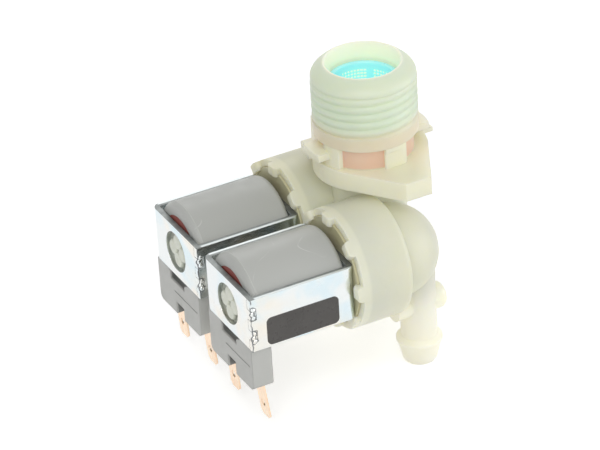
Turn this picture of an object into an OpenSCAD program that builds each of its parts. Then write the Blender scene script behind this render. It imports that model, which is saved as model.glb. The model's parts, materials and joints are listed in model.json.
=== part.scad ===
// Double solenoid inlet valve of a washing machine.
// Origin: centre of the flange's top face, on the axis of the threaded inlet.
// +Z points up out of the inlet, +X from the coils' front plates to the domed elbows,
// and +Y from the near valve to the far valve.
// Each valve is drawn in its own frame: X along the coil, zero on the back of its yoke.

/* [Inlet] */
// Major diameter of the inlet thread (3/4 garden hose size)
thread_d = 26.99; // [26:0.01:28]
// Length of the threaded stretch
thread_len = 12.2; // [10:0.1:14]
// Pitch of the thread
thread_pitch = 2.209; // [1.5:0.001:3]
// Depth of the thread
thread_depth = 1; // [0.6:0.1:1.4]
// Height of the plain collar below the thread
collar_h = 3.8; // [2:0.1:5]
// Diameter of the plain lead-in above the thread
lead_d = 24.2; // [23.6:0.1:24.8]
// Height of the lead-in
lead_h = 2.3; // [1.4:0.1:3]
// Diameter of the bore
bore_d = 18.6; // [17.6:0.1:19.4]
// Diameter of the flared mouth at its top
mouth_d = 21.6; // [20:0.1:21.8]
// Height of the mouth's flare
mouth_flare_h = 2.5; // [1.5:0.1:4]
// Diameter of the neck that stands on the flange
neck_d = 24; // [23:0.1:25]
// Height of the neck
neck_h = 6; // [5:0.2:8]

/* [Flange] */
// Diameter of the flange's round middle
flange_d = 29.6; // [28:0.2:32]
// How far the flange's centre lies behind the inlet axis
flange_shift = 0.9; // [0:0.1:1.5]
// Distance from the flange's centre to the end of an ear
ear_reach = 22; // [20:0.5:25]
// Width of an ear's end
ear_w = 7.3; // [5:0.1:9]
// Offset of an ear's end from the flange's centre line
ear_offset = 1.75; // [0:0.05:3]
// Height of the flange with its skirt
flange_h = 5; // [4:0.2:5.4]
// Wall of the flange's top plate and skirt
flange_wall = 2.2; // [1.6:0.1:2.6]
// Thickness of the bayonet lugs
lug_t = 2; // [1.5:0.1:2.4]
// Gap between the lugs and the flange, for the sheet metal
sheet_gap = 2.2; // [1:0.1:2.4]
// Reach of the bayonet lugs from the inlet axis
lug_reach = 16.4; // [15:0.1:17]

/* [Valves] */
// Gap between the two yokes
valve_gap = 3.6; // [3.4:0.1:6]
// Gap between the flange's skirt and the chamber rings below it
ring_drop = 1.65; // [1:0.05:4]
// Distance of the yokes' back faces in front of the inlet axis
yoke_setback = 19.2; // [18.5:0.1:21]
// How much wider the chamber rings are than the yokes
ring_over = 6.2; // [5.8:0.1:7]
// Wall of the chamber rings round the guide tubes' flanges
ring_wall = 1.95; // [1.85:0.05:2.2]
// Distance of the rings' back edge behind the yoke
ring_back = 15; // [14:0.5:17]
// Number of retaining teeth round each ring
tooth_count = 8; // [6:1:9]
// Width of a tooth
tooth_w = 4.3; // [3:0.1:5]
// How far the teeth reach forward over the yoke
tooth_reach = 1.1; // [0.8:0.1:1.6]
// Depth of the notches between the teeth behind the yoke's back face
notch_depth = 0.6; // [0.4:0.1:1.6]
// Diameter of the domed elbows
dome_d = 24.4; // [23:0.2:26]
// Diameter of the hollow in the elbows
elbow_bore_d = 15; // [13:0.5:15.4]

/* [Spigots] */
// Distance of the spigot axes behind the yokes' back faces
spigot_setback = 24; // [23:0.1:25]
// Diameter of the spigot's stem
stem_d = 9.5; // [9:0.1:10.4]
// Bore of the spigot
spigot_bore_d = 6.8; // [6:0.1:7.4]
// Largest diameter of the barb
barb_d = 12.1; // [11.4:0.1:12.8]
// Diameter of the spigot's end
tip_d = 9; // [8.4:0.1:9.4]
// Depth of the spigot's end below the coil axis
spigot_drop = 34.6; // [32:0.2:40]
// Height of the barb
barb_h = 7.2; // [6:0.2:9]
// Diameter of the closed core boss across the stem
boss_d = 7.2; // [6:0.1:8]
// Depth of the core boss below the coil axis
boss_drop = 17.5; // [17:0.1:19]
// Distance of the core boss's end behind the yoke
boss_end = 31.3; // [29:0.1:33]

/* [Yokes] */
// Length of a yoke along the coil
yoke_l = 29.5; // [28:0.1:32]
// Width of a yoke
yoke_w = 25.5; // [25:0.1:25.8]
// Height of a yoke
yoke_h = 15; // [14:0.1:16]
// Thickness of the yoke's steel
steel_t = 1.5; // [1.2:0.1:1.6]
// Diameter of the hole in the front plate
front_hole_d = 11; // [10.6:0.1:11.6]
// Radius of the yoke's three bends
bend_r = 2.2; // [1.8:0.1:3]

/* [Coils] */
// How much smaller the coil cover's diameter is than the yoke's width
cover_less = 0.3; // [0:0.1:0.8]
// Wall of the cover beside the winding
cover_wall = 0.75; // [0.6:0.05:1.2]
// Rounding of the cover's ends
cover_round = 1.6; // [1:0.1:2]
// Share of the winding's depth that the bobbin's flanges cover
bobbin_share = 0.64; // [0.5:0.02:0.7]
// How far each end of the terminal block stays inside the yoke's width
block_inset = 1.05; // [0.8:0.05:1.4]
// Depth of the terminal block along the coil
block_l = 5.6; // [5:0.1:7]
// Height of the terminal block below the yoke
block_h = 12.2; // [10:0.1:14]
// Distance of the left tab's middle from the block's left end
left_tab_inset = 4.7; // [3:0.1:5]
// Distance of the right tab's middle from the block's right end
right_tab_inset = 3.1; // [3:0.1:5]
// Width of a terminal tab
tab_w = 4.8; // [4:0.1:5]
// Thickness of a terminal tab
tab_t = 0.5; // [0.5:0.1:0.8]
// Length of a terminal tab below its block
tab_l = 10.6; // [8:0.1:12]

/* [Valve insides] */
// Diameter of the guide tube
tube_d = 10.4; // [9.8:0.1:10.6]
// Diameter of the plunger
plunger_d = 8; // [7.6:0.1:8.2]
// Running clearance of the plunger, on the radius
run_gap = 0.1; // [0.05:0.01:0.1]
// Travel of the plunger
plunger_travel = 3.2; // [2.5:0.1:3.4]
// Travel of the diaphragm
diaphragm_travel = 1.8; // [1:0.1:1.8]
// Diameter of the valve seat's bore
seat_bore_d = 8; // [7:0.1:8.4]
// Free space on the radius between parts that are put together
fit_gap = 0.1; // [0.05:0.05:0.2]

/* [Filter and flow regulator] */
// Depth of the filter's rim below the inlet's mouth
filter_depth = 2.8; // [2.6:0.2:7]
// Wall of the filter basket
filter_wall = 0.8; // [0.6:0.1:1]
// Number of mesh windows round the basket
window_count = 6; // [4:1:6]
// Height of the flow regulator's holder above the flange
holder_top = 8; // [6:0.2:9]

/* [Hidden] */
$fn = 96;
eps = 0.01;
NEAR = -1;
FAR = 1;
RIGHT = -1;
LEFT = 1;

// Sizes that follow the yoke's width
valve_pitch = yoke_w + valve_gap;
ring_d = yoke_w + ring_over;
cap_d = ring_d - 2 * ring_wall;
axis_drop = flange_h + ring_drop + ring_d / 2;
cover_d = yoke_w - cover_less;
cover_flat = yoke_w - 2 * steel_t - 2 * fit_gap;
block_w = yoke_w - 2 * block_inset;

// Heights on the inlet
collar_top = neck_h + collar_h;
thread_top = collar_top + thread_len;
mouth_z = thread_top + lead_h;
lead_round = 1;
root_d = thread_d - 2 * thread_depth;
holder_seat = -1;
holder_floor = 2;
lower_bore_d = bore_d - 3.6;
lower_bore_l = 8;
pipe_d = 19;
passage_d = 9;
filter_top = mouth_z - filter_depth;

// Stations along a valve, from the back of its yoke
yoke_front = -yoke_l;
cover_front = yoke_front + steel_t + 0.2;
cover_back = -steel_t - 0.2;
cap_plate = 1.8;
cap_back = 5.6;
ledge = cap_back + 1.4;
seat_lip = ledge - 0.8;
chamber_back = ring_back - 2;
dome_x = ring_back + 1.9;
elbow_front = ring_back - 0.4;
elbow_back = 8;
cap_bore_d = cap_d + 2 * fit_gap;
hook_d = cap_d - 1;
first_tooth = 88;
chamber_d = cap_bore_d - 3.2;
rim_inner_d = chamber_d - 1;

// Inside the guide tube
tube_bore_d = plunger_d + 2 * run_gap;
tube_end = yoke_front + 0.4;
tube_stop = tube_end + 3.2;
pad_l = 2.6;
pad_dome = 1.9;
pad_d = 5.2;
plunger_front = tube_stop + plunger_travel + 1.2;
insert_front = seat_lip - 2.3;
insert_plate = 0.9;
rubber_front = insert_front + insert_plate;
nipple_h = 0.6;
nipple_d = 2.8;
bleed_r = 6.9;
bleed_d = 0.8;
seal_face = insert_front - nipple_h;
seal_l = 3;
seal_d = 4.4;
plunger_back = seal_face - 0.5;
spring_d = 5;
spring_wire = 0.5;
spring_pocket_d = 6.2;
spring_pocket_l = 9;
spring_turns = 7;

// Coil parts
sleeve_l = 9;
sleeve_d = tube_d + 2 * fit_gap + 2;
barrel_d = sleeve_d + 2 * fit_gap + 2;
bobbin_flange_t = 1.4;
yoke_hole_d = sleeve_d;
winding_d = cover_flat - 2 * cover_wall;
bobbin_d = barrel_d + bobbin_share * (winding_d - barrel_d);
block_bottom = -yoke_h / 2 - block_h;
tab_x = yoke_front + 3.2;
tab_root = block_bottom + 5;
hub_d = 6.2;
left_lean = 4;
near_right_lean = 7.6;
far_right_lean = 6;

// Rubber parts
middle_d = 16.6;
web_d = 17.8;
web_rise = 0.5;
web_t = 0.6;
regulator_d = 13;
regulator_bore_d = 5.2;
regulator_h = 3;
regulator_groove_d = 1.2;

// Places a piece on the near or the far valve's axis
module on_valve(side) {
    translate([-yoke_setback, side * valve_pitch / 2, -axis_drop]) children();
}

// Round bar along X from one station to another
module bar_x(d, x0, x1) {
    translate([x0, 0, 0]) rotate([0, 90, 0]) cylinder(d = d, h = x1 - x0);
}

// Tube along X from one station to another
module tube_x(d_out, d_in, x0, x1) {
    difference() {
        bar_x(d_out, x0, x1);
        bar_x(d_in, x0 - eps, x1 + eps);
    }
}

// Box between two opposite corners
module span_box(low, high) {
    translate(low) cube(high - low);
}

// Rectangle with its four corners rounded, drawn from true arcs
module rounded_rect(size, r) {
    square([size[0] - 2 * r, size[1]], center = true);
    square([size[0], size[1] - 2 * r], center = true);
    for (x = [-1, 1], y = [-1, 1])
        translate([x * (size[0] / 2 - r), y * (size[1] / 2 - r)]) circle(r = r, $fn = 32);
}

// Point where the tangent from p touches a circle about the origin, kept a hair inside the circle
function tangent_point(p, r, side) =
    let (d = norm(p), a = atan2(p[1], p[0]), b = side * acos(r / d))
    [r * cos(a + b), r * sin(a + b)];

// Outline of the flange, smaller on every side by inset
module flange_outline(inset) {
    r = flange_d / 2 - inset;
    near_r = r - 0.05;
    end_y = -(ear_reach - inset);
    left = [ear_offset - ear_w / 2 + inset * 0.6, end_y];
    right = [ear_offset + ear_w / 2 - inset * 0.6, end_y];
    translate([flange_shift, 0]) {
        circle(r = r);
        for (turn = [0, 180]) rotate(turn)
            polygon([[0, 0], tangent_point(left, near_r, -1), left, right, tangent_point(right, near_r, 1)]);
    }
}

// Thin locking tab behind the inlet and shoulder in front of it, in the flange's plane
module flange_tabs() {
    lock_t = 1.2;
    lock_w = 7.9;
    lock_cut = 1.2;
    shoulder_t = 1.5;
    r = flange_d / 2;
    lock_x = r + 4.1;
    back_x = r - 2.8;
    low_y = -0.5;
    top_y = low_y + lock_w;
    translate([0, 0, -lock_t]) linear_extrude(lock_t)
        polygon([[back_x, low_y], [lock_x, low_y], [lock_x, top_y - lock_cut],
            [lock_x - lock_cut, top_y], [back_x, top_y]]);
    translate([0, 0, -shoulder_t]) linear_extrude(shoulder_t)
        polygon([[4.8 - r, 3], [0.6 - r, 5], [0.6 - r, 7.6], [2 - r, r - 3], [5.8 - r, r - 3]]);
}

// Ribs below the flange's top plate, from the pipe to the skirt
module flange_ribs() {
    rib_t = 1.6;
    for (a = [0 : 45 : 315])
        rotate(a) translate([pipe_d / 2 - 1, -rib_t / 2, -flange_h + 0.6])
            cube([flange_d / 2 - pipe_d / 2 - flange_wall + flange_shift + 0.6, rib_t, flange_h - 1]);
    for (a = [90, 270])
        rotate(a) translate([flange_d / 2 - 4, -rib_t / 2, -flange_h + 0.6])
            cube([ear_reach - flange_d / 2 + 3, rib_t, flange_h - 1]);
}

// One bayonet lug on the side that +X faces, the block beside it and the stop block on the +Y side
module bayonet_lug() {
    lug_w = 8;
    block_out = 0.8;
    ledge_out = 1.3;
    ledge_h = 1.4;
    stop_x = -4.7;
    stop_w = 6.2;
    side_y = 1;
    side_w = 5.5;
    root = 3.4;
    neck_r = neck_d / 2;
    translate([0, 0, sheet_gap]) intersection() {
        linear_extrude(lug_t) translate([neck_r - 2, -lug_w / 2]) square([lug_reach - neck_r + 2, lug_w]);
        cylinder(r = lug_reach, h = lug_t);
    }
    intersection() {
        union() {
            span_box([stop_x, neck_r - root, -eps], [stop_x + stop_w, neck_r + block_out, neck_h + eps]);
            span_box([stop_x, neck_r - root, neck_h - ledge_h],
                [stop_x + stop_w, neck_r + ledge_out, neck_h + eps]);
            span_box([neck_r - root, side_y, -eps], [neck_r + block_out, side_y + side_w, neck_h + eps]);
        }
        translate([0, 0, -1]) cylinder(d = thread_d - 0.5, h = neck_h + 2);
    }
}

// Annular ridges in place of the fine helical thread, which run out at both ends
module thread_ridges() {
    crest = thread_pitch / 8;
    ridge_count = floor((thread_len - thread_pitch / 2) / thread_pitch);
    run_out = (thread_len - ridge_count * thread_pitch) / 2;
    for (k = [0 : ridge_count - 1])
        translate([0, 0, collar_top + run_out + thread_pitch * (k + 0.5)]) rotate_extrude()
            polygon([[root_d / 2 - 0.3, -thread_pitch * 0.45], [root_d / 2, -thread_pitch * 0.42],
                [thread_d / 2, -crest], [thread_d / 2, crest],
                [root_d / 2, thread_pitch * 0.42], [root_d / 2 - 0.3, thread_pitch * 0.45]]);
}

// Threaded inlet, neck and lead-in, without the bore
module inlet_outside() {
    translate([0, 0, -flange_h]) cylinder(d = neck_d, h = flange_h + neck_h + eps);
    translate([0, 0, neck_h]) cylinder(d = thread_d, h = collar_h);
    translate([0, 0, neck_h]) cylinder(d = root_d, h = mouth_z - neck_h - lead_h);
    thread_ridges();
    translate([0, 0, thread_top - eps]) cylinder(d = lead_d, h = lead_h - lead_round + eps);
    translate([0, 0, mouth_z - lead_round]) rotate_extrude() {
        translate([bore_d / 2, -eps]) square([lead_d / 2 - lead_round - bore_d / 2, lead_round + eps]);
        translate([lead_d / 2 - lead_round, 0]) intersection() {
            circle(r = lead_round, $fn = 48);
            translate([-eps, -eps]) square(lead_round + 1);
        }
    }
}

// Everything that hangs below the flange and carries the water to both chambers
module manifold_outside() {
    translate([0, 0, -axis_drop]) cylinder(d = pipe_d, h = axis_drop);
    translate([0, 0, -axis_drop]) sphere(d = pipe_d);
    translate([-yoke_setback + ledge + 1, 0, -axis_drop]) rotate([0, 90, 0])
        cylinder(d = passage_d + 6, h = yoke_setback - ledge - 1);
}

// Water way from the inlet's mouth to the two chambers
module manifold_inside() {
    flare = (mouth_d - bore_d) / mouth_flare_h;
    translate([0, 0, mouth_z - mouth_flare_h - 0.1])
        cylinder(d1 = bore_d - 0.1 * flare, d2 = mouth_d + flare, h = mouth_flare_h + 1.1);
    translate([0, 0, holder_seat]) cylinder(d = bore_d, h = mouth_z - holder_seat + 1);
    translate([0, 0, -lower_bore_l]) cylinder(d = lower_bore_d, h = lower_bore_l);
    translate([0, 0, -axis_drop]) cylinder(d = passage_d, h = axis_drop);
    translate([0, 0, -axis_drop]) sphere(d = passage_d);
    cross_x = -yoke_setback + (ledge + chamber_back) / 2;
    cross_d = chamber_back - ledge - 1;
    cross_w = valve_pitch - seat_bore_d - 4.4;
    translate([cross_x, 0, -axis_drop]) rotate([0, 90, 0]) cylinder(d = cross_d + 1.4, h = -cross_x);
    translate([cross_x, -cross_w / 2, -axis_drop]) rotate([-90, 0, 0]) cylinder(d = cross_d, h = cross_w);
}

// Outside of one chamber ring, with its rounded back edge and the notches between its teeth
module ring_outside() {
    back_round = 1.5;
    difference() {
        bar_x(ring_d, -tooth_reach, ring_back - back_round);
        ring_notches();
    }
    bar_x(ring_d - 2 * back_round, ring_back - back_round - eps, ring_back);
    translate([ring_back - back_round, 0, 0]) rotate([0, 90, 0]) rotate_extrude()
        translate([ring_d / 2 - back_round, 0]) circle(r = back_round, $fn = 48);
}

// What is cut out of the ring's front part so that only the retaining teeth stay
module ring_notches() {
    tip_r = 1.2;
    inner_r = hook_d / 2 - 1;
    difference() {
        tube_x(ring_d + 4, 2 * inner_r, -tooth_reach - 1, notch_depth);
        for (k = [0 : tooth_count - 1])
            rotate([first_tooth + k * 360 / tooth_count, 0, 0]) translate([0, inner_r - 1, 0])
                rotate([-90, 0, 0]) linear_extrude(ring_d / 2 - inner_r + 4) tooth_outline(tip_r);
    }
}

// Tooth seen along its radius, X along the valve
module tooth_outline(tip_r) {
    length = tooth_reach + notch_depth + 0.5;
    translate([-tooth_reach + tip_r, -tooth_w / 2]) square([length - tip_r, tooth_w]);
    translate([-tooth_reach, -tooth_w / 2 + tip_r]) square([length, tooth_w - 2 * tip_r]);
    for (side = [-1, 1])
        translate([-tooth_reach + tip_r, side * (tooth_w / 2 - tip_r)]) circle(r = tip_r, $fn = 32);
}

// Inside of one chamber: way in between the teeth, socket for the guide tube's flange, which the
// teeth hook over, room for the yoke's corners, then the inlet chamber round the seat
module chamber_inside() {
    bar_x(hook_d, -yoke_l, ledge);
    bar_x(cap_bore_d, 0, ledge);
    span_box([-yoke_l, -yoke_w / 2 - fit_gap, -yoke_h / 2 - fit_gap],
        [fit_gap, yoke_w / 2 + fit_gap, yoke_h / 2 + fit_gap]);
    difference() {
        bar_x(chamber_d, ledge - eps, chamber_back);
        bar_x(seat_bore_d + 2.4, seat_lip, chamber_back + 1);
    }
}

// Domed elbow, closed core boss and barbed spigot, without their water way
module outlet_outside() {
    tip_z = -spigot_drop;
    boss_round = boss_d / 4;
    translate([dome_x, 0, 0]) rotate(135) sphere(d = dome_d);
    translate([spigot_setback, 0, tip_z + barb_h]) cylinder(d = stem_d, h = spigot_drop - barb_h);
    translate([spigot_setback, 0, tip_z]) rotate_extrude()
        polygon([[0, 0], [tip_d / 2 - 0.4, 0], [tip_d / 2, 0.5], [barb_d / 2 - 0.5, barb_h - 2.2],
            [barb_d / 2, barb_h - 1.2], [barb_d / 2, barb_h - 0.6], [stem_d / 2 - 0.2, barb_h + 0.6],
            [0, barb_h + 0.6]]);
    translate([ring_back + 1.5, 0, -boss_drop]) rotate([0, 90, 0]) rotate_extrude() {
        square([boss_d / 2 - boss_round, boss_end - ring_back - 1.5]);
        square([boss_d / 2, boss_end - ring_back - 1.5 - boss_round]);
        translate([boss_d / 2 - boss_round, boss_end - ring_back - 1.5 - boss_round])
            circle(r = boss_round, $fn = 48);
    }
}

// Water way of the outlet: seat, elbow and spigot
module outlet_inside() {
    bar_x(seat_bore_d, seat_lip - 1, elbow_front + 1);
    bar_x(elbow_bore_d, elbow_front, dome_x + elbow_back);
    translate([spigot_setback, 0, -spigot_drop - 1]) cylinder(d = spigot_bore_d, h = spigot_drop + 1);
}

// One moulding: inlet, flange, manifold, two chambers, two elbows with barbed spigots
module valve_body() {
    color("#ece9cf") difference() {
        union() {
            inlet_outside();
            flange_tabs();
            difference() {
                translate([0, 0, -flange_h]) linear_extrude(flange_h) flange_outline(0);
                translate([0, 0, -flange_h - eps])
                    linear_extrude(flange_h - flange_wall + eps) flange_outline(flange_wall);
            }
            flange_ribs();
            manifold_outside();
            for (turn = [0, 180]) rotate(turn) bayonet_lug();
            for (side = [NEAR, FAR]) on_valve(side) {
                ring_outside();
                outlet_outside();
            }
        }
        for (side = [NEAR, FAR]) on_valve(side) {
            chamber_inside();
            outlet_inside();
        }
        manifold_inside();
    }
}

// Basket filter with six mesh windows and a pull handle
module inlet_filter() {
    rim_d = bore_d - 2 * fit_gap;
    basket_d = rim_d - 1.6;
    band_h = 2.2;
    floor_t = 1;
    rows = 4;
    columns = 4;
    row_pitch = (filter_top - band_h - holder_top - floor_t) / rows;
    column_pitch = 38 / columns;
    hole_w = 0.9;
    color("#4fd3e2") difference() {
        union() {
            translate([0, 0, filter_top - 1.2]) cylinder(d = rim_d, h = 1.2);
            translate([0, 0, holder_top]) cylinder(d = basket_d, h = filter_top - holder_top);
        }
        translate([0, 0, holder_top + floor_t])
            cylinder(d = basket_d - 2 * filter_wall, h = filter_top - holder_top);
        for (w = [0 : window_count - 1], r = [0 : rows - 1], c = [0 : columns - 1])
            rotate(15 + w * 360 / window_count + (c - (columns - 1) / 2) * column_pitch)
                translate([basket_d / 2 - 2, -hole_w / 2, holder_top + floor_t + row_pitch * (r + 0.15)])
                    cube([4, hole_w, row_pitch * 0.7]);
    }
    color("#4fd3e2") translate([-0.6, -2, holder_top + floor_t - eps]) cube([1.2, 4, 5]);
}

// Holder of the flow regulator, with a ring of ports in its floor
module flow_regulator_holder() {
    wall = 1.2;
    port_count = 8;
    holder_d = bore_d - 2 * fit_gap;
    color("#e8a08a") difference() {
        translate([0, 0, holder_seat]) cylinder(d = holder_d, h = holder_top - holder_seat);
        translate([0, 0, holder_seat + holder_floor]) cylinder(d = holder_d - 2 * wall, h = holder_top);
        for (k = [0 : port_count - 1])
            rotate(k * 360 / port_count) translate([4.2, 0, holder_seat - 1])
                cylinder(d = 1.8, h = holder_floor + 2, $fn = 32);
        translate([0, 0, holder_seat - 1]) cylinder(d = 3, h = holder_floor + 2, $fn = 32);
    }
}

// Rubber ring that throttles the flow as the pressure rises
module flow_regulator_ring() {
    groove_r = regulator_d / 2 - 1.5;
    color("#2b2b2b") translate([0, 0, holder_seat + holder_floor]) difference() {
        cylinder(d = regulator_d, h = regulator_h);
        translate([0, 0, -1]) cylinder(d = regulator_bore_d, h = regulator_h + 2);
        translate([0, 0, regulator_h]) rotate_extrude() translate([groove_r, 0])
            circle(d = regulator_groove_d, $fn = 32);
    }
}

// Guide tube: closed front end with four pads, tube and capped pressure chamber
module guide_tube(side) {
    pad_ring = tube_d / 2 - pad_d / 2;
    centre_d = 4;
    color("#dcdcca") on_valve(side) difference() {
        union() {
            bar_x(tube_d, tube_end + pad_l, cap_plate);
            bar_x(centre_d, tube_end + pad_dome - 0.2, tube_end + pad_l + eps);
            for (k = [0 : 3]) rotate([k * 90, 0, 0]) translate([0, 0, pad_ring]) {
                bar_x(pad_d, tube_end + pad_dome, tube_end + pad_l + eps);
                translate([tube_end + pad_dome, 0, 0]) intersection() {
                    sphere(d = pad_d, $fn = 48);
                    bar_x(pad_d + 1, -pad_dome, eps);
                }
            }
            bar_x(cap_d, 0, cap_back);
        }
        bar_x(tube_bore_d, tube_stop, cap_plate + eps);
        bar_x(rim_inner_d, cap_plate, cap_back + eps);
    }
}

// Rubber diaphragm: clamped rim, thin membrane and thick middle that closes the seat
module diaphragm(side) {
    rim_t = ledge - cap_back;
    middle_t = seat_lip - rubber_front;
    rim_x = cap_back - rubber_front;
    color("#3a3a3c") on_valve(side) translate([rubber_front, 0, 0]) rotate([0, 90, 0]) difference() {
        rotate_extrude() polygon([[hub_d / 2 + fit_gap, 0], [middle_d / 2, 0], [web_d / 2, web_rise],
            [rim_inner_d / 2 - web_t, web_rise], [rim_inner_d / 2, rim_x], [cap_d / 2, rim_x],
            [cap_d / 2, rim_x + rim_t], [rim_inner_d / 2 - 0.2, rim_x + rim_t],
            [rim_inner_d / 2 - 1.4, middle_t - 0.2], [web_d / 2, web_rise + web_t],
            [middle_d / 2, middle_t], [hub_d / 2 + fit_gap, middle_t]]);
        translate([bleed_r, 0, -1]) cylinder(d = bleed_d, h = middle_t + 2, $fn = 24);
    }
}

// Hard insert of the diaphragm, with the pilot hole, the bleed hole and four guiding fins
module diaphragm_insert(side) {
    plate_d = 15.2;
    boss_d = 4.2;
    fin_t = 0.8;
    fin_reach = seat_bore_d / 2 - 0.3;
    guide_l = 2.2;
    pilot_d = 1.2;
    color("#f2f2ee") on_valve(side) difference() {
        union() {
            bar_x(plate_d, insert_front, rubber_front);
            bar_x(nipple_d, seal_face, insert_front + 0.3);
            bar_x(hub_d, insert_front + 0.3, seat_lip + 0.2);
            bar_x(boss_d, seat_lip, seat_lip + guide_l - 0.3);
            for (k = [0 : 3]) rotate([k * 90, 0, 0])
                span_box([seat_lip, boss_d / 2 - 0.4, -fin_t / 2], [seat_lip + guide_l, fin_reach, fin_t / 2]);
        }
        bar_x(pilot_d, seal_face - 1, seat_lip + guide_l + 1);
        translate([0, 0, -bleed_r]) bar_x(bleed_d, insert_front - 1, rubber_front + 1);
    }
}

// Steel plunger with its spring pocket, seal pocket and two water grooves
module plunger(side) {
    color("#b9bdc2") on_valve(side) difference() {
        bar_x(plunger_d, plunger_front, plunger_back);
        bar_x(spring_pocket_d, plunger_front - 1, plunger_front + spring_pocket_l);
        bar_x(seal_d, plunger_back - seal_l + 0.5, plunger_back + 1);
        for (y = [-1, 1])
            span_box([plunger_front - 1, min(y * plunger_d / 2, y * (plunger_d / 2 - 0.6)), -0.8],
                [plunger_back + 1, max(y * (plunger_d / 2 + 1), y * (plunger_d / 2 - 0.6)), 0.8]);
    }
}

// Rubber seal that closes the pilot hole
module plunger_seal(side) {
    color("#202022") on_valve(side) bar_x(seal_d, seal_face - seal_l, seal_face);
}

// Return spring between the guide tube's closed end and the plunger
module plunger_spring(side) {
    sides = 6;
    per_turn = 14;
    steps = spring_turns * per_turn;
    r = spring_d / 2 - spring_wire / 2;
    x0 = tube_stop + spring_wire / 2;
    x1 = plunger_front + spring_pocket_l - spring_wire / 2;
    points = [for (i = [0 : steps], j = [0 : sides - 1])
        let (a = i * 360 / per_turn, b = j * 360 / sides, rr = r + spring_wire / 2 * cos(b))
        [x0 + (x1 - x0) * i / steps + spring_wire / 2 * sin(b), rr * cos(a), rr * sin(a)]];
    quads = [for (i = [0 : steps - 1], j = [0 : sides - 1])
        [i * sides + j, i * sides + (j + 1) % sides, (i + 1) * sides + (j + 1) % sides, (i + 1) * sides + j]];
    caps = [[for (j = [sides - 1 : -1 : 0]) j], [for (j = [0 : sides - 1]) steps * sides + j]];
    color("#c9ccd0") on_valve(side) polyhedron(points, concat(quads, caps));
}

// Bobbin that carries the winding
module bobbin(side) {
    color("#7b2f28") on_valve(side) difference() {
        union() {
            bar_x(barrel_d, cover_front, cover_back);
            bar_x(bobbin_d, cover_front, cover_front + bobbin_flange_t);
            bar_x(bobbin_d, cover_back - bobbin_flange_t, cover_back);
        }
        bar_x(tube_d + 2 * fit_gap, cover_front - 1, cover_back);
        bar_x(sleeve_d + 2 * fit_gap, -sleeve_l, cover_back + 1);
    }
}

// Copper winding
module winding(side) {
    color("#a4552c") on_valve(side)
        tube_x(winding_d, barrel_d, cover_front + bobbin_flange_t, cover_back - bobbin_flange_t);
}

// Profile of the coil cover, turned about its axis
module cover_profile() {
    length = cover_back - cover_front;
    r = cover_d / 2;
    inner = bobbin_d / 2;
    difference() {
        union() {
            translate([inner, 0]) square([r - cover_round - inner, length]);
            translate([inner, cover_round]) square([r - inner, length - 2 * cover_round]);
            for (y = [cover_round, length - cover_round])
                translate([r - cover_round, y]) circle(r = cover_round, $fn = 48);
        }
        translate([inner - 1, bobbin_flange_t])
            square([winding_d / 2 - inner + 1, length - 2 * bobbin_flange_t]);
    }
}

// Front view of the terminal block, Y across and Z up
module block_face() {
    corner = 1.5;
    top = -yoke_h / 2;
    translate([-block_w / 2 + corner, block_bottom]) square([block_w - 2 * corner, top - block_bottom]);
    translate([-block_w / 2, block_bottom + corner]) square([block_w, top - block_bottom - corner]);
    for (side = [-1, 1])
        translate([side * (block_w / 2 - corner), block_bottom + corner]) circle(r = corner, $fn = 32);
}

// Moulded cover of the coil, with the terminal block below its front end
module coil_cover(side) {
    recess_w = 8;
    recess_h = 2.7;
    notch_w = 4.4;
    notch_h = 3.6;
    line_z = -yoke_h / 2 - 5.7;
    bend_room = 0.6;
    color("#a9aaa6") on_valve(side) difference() {
        union() {
            intersection() {
                translate([cover_front, 0, 0]) rotate([0, 90, 0]) rotate_extrude() cover_profile();
                span_box([yoke_front, -cover_flat / 2, -cover_d], [0, cover_flat / 2, cover_d]);
            }
            difference() {
                union() {
                    translate([yoke_front, 0, 0]) rotate([90, 0, 90]) linear_extrude(block_l) block_face();
                    span_box([cover_front, bend_room - cover_flat / 2, -yoke_h / 2 - 1],
                        [yoke_front + block_l, cover_flat / 2 - bend_room, -yoke_h / 2 + 3.5]);
                }
                bar_x(winding_d, cover_front + bobbin_flange_t, cover_back);
                bar_x(bobbin_d, yoke_front - 1, cover_back);
            }
        }
        span_box([yoke_front - 1, -recess_w / 2 + 0.6, -yoke_h / 2 - recess_h],
            [yoke_front + 1.4, recess_w / 2 + 0.6, -yoke_h / 2 + eps]);
        span_box([yoke_front - 1, -notch_w / 2, block_bottom - 1],
            [yoke_front + 2, notch_w / 2, block_bottom + notch_h]);
        span_box([yoke_front - 1, 1.4 - block_w / 2, line_z], [yoke_front + 0.25, 2.8, line_z + 0.3]);
        for (place = [LEFT, RIGHT])
            span_box([tab_x - tab_t / 2, tab_y(place) - tab_w / 2, block_bottom - 1],
                [tab_x + tab_t / 2, tab_y(place) + tab_w / 2, tab_root]);
    }
}

// Steel sleeve that leads the magnetic field from the yoke's back plate to the plunger
module flux_sleeve(side) {
    color("#a5a9ae") on_valve(side) tube_x(sleeve_d, tube_d + 2 * fit_gap, -sleeve_l + fit_gap, 0);
}

// Plan of the yoke: one strip, three bends, staked at the corner of front and near side
module yoke_plan() {
    inner_r = bend_r - steel_t;
    difference() {
        union() {
            rounded_rect([yoke_l, yoke_w], bend_r);
            translate([-yoke_l / 2, -yoke_w / 2]) square(bend_r + 1);
        }
        rounded_rect([yoke_l - 2 * steel_t, yoke_w - 2 * steel_t], max(inner_r, 0.4));
        translate([-yoke_l / 2 + steel_t, -yoke_w / 2 + steel_t]) square(bend_r + 1);
    }
}

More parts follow.
